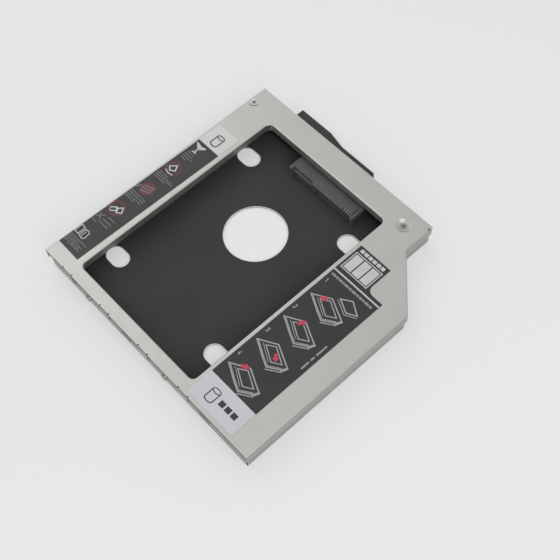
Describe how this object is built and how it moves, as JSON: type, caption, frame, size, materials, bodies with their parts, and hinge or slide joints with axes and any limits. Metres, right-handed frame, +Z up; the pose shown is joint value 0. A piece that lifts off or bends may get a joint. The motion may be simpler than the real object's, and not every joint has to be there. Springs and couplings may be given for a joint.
{
  "type": "laptop drive caddy",
  "caption": "Flat aluminium caddy with a cut corner and a window: a 2.5 inch drive drops in, slides onto a socket and is clamped by screws from the front edge.",
  "frame": {"origin": "centre of the bounding box, on the underside of the tray", "axes": "+X across the caddy towards the cut corner, +Y from the front edge to the plug, +Z up out of the window"},
  "size_m": [0.128, 0.1323, 0.0128],
  "materials": {
    "lid_aluminium": "fine satin sheet with a brighter rounded edge",
    "tray_aluminium": "fine satin sheet",
    "black_film": "smooth black insulating film",
    "post_steel": "plated, turned",
    "screw_steel": "nickel plated",
    "board_lacquer": "black lacquered board",
    "chip_ceramic": "bare ceramic",
    "chip_black": "moulded",
    "black_nylon": "moulded, slightly grained",
    "gold_contact": "gold plated",
    "tinned_clip": "tinned",
    "clamp_steel": "plated",
    "strip_sticker": "printed film, black with a pale end",
    "panel_sticker": "printed film, black with a silver end"
  },
  "bodies": {
    "caddy": {"top_plate": "lid_aluminium", "bottom_tray": "tray_aluminium", "floor_film": "black_film", "lid_post": "post_steel", "lid_screws": "screw_steel", "circuit_board": "board_lacquer", "board_standoffs": "post_steel", "board_screws": "screw_steel", "chip_capacitors": "chip_ceramic", "chip_resistors": "chip_black", "socket_housing": "black_nylon", "socket_signal_contacts": "gold_contact", "socket_power_contacts": "gold_contact", "socket_clips": "tinned_clip", "plug_housing": "black_nylon", "plug_signal_contacts": "gold_contact", "plug_power_contacts": "gold_contact", "plug_clips": "tinned_clip", "clamp_nuts": "post_steel", "bracket_nuts": "post_steel", "strip_label": "strip_sticker", "panel_label": "panel_sticker"},
    "clamp_left": {"clamp_screw_left": "clamp_steel"},
    "clamp_right": {"clamp_screw_right": "clamp_steel"}
  },
  "joints": [
    {"name": "clamp_left_feed", "type": "slide", "parent": "caddy", "child": "clamp_left", "axis": [0, 1, 0], "range_m": [0, 0.0053]},
    {"name": "clamp_right_feed", "type": "slide", "parent": "caddy", "child": "clamp_right", "axis": [0, 1, 0], "range_m": [0, 0.0053]}
  ]
}
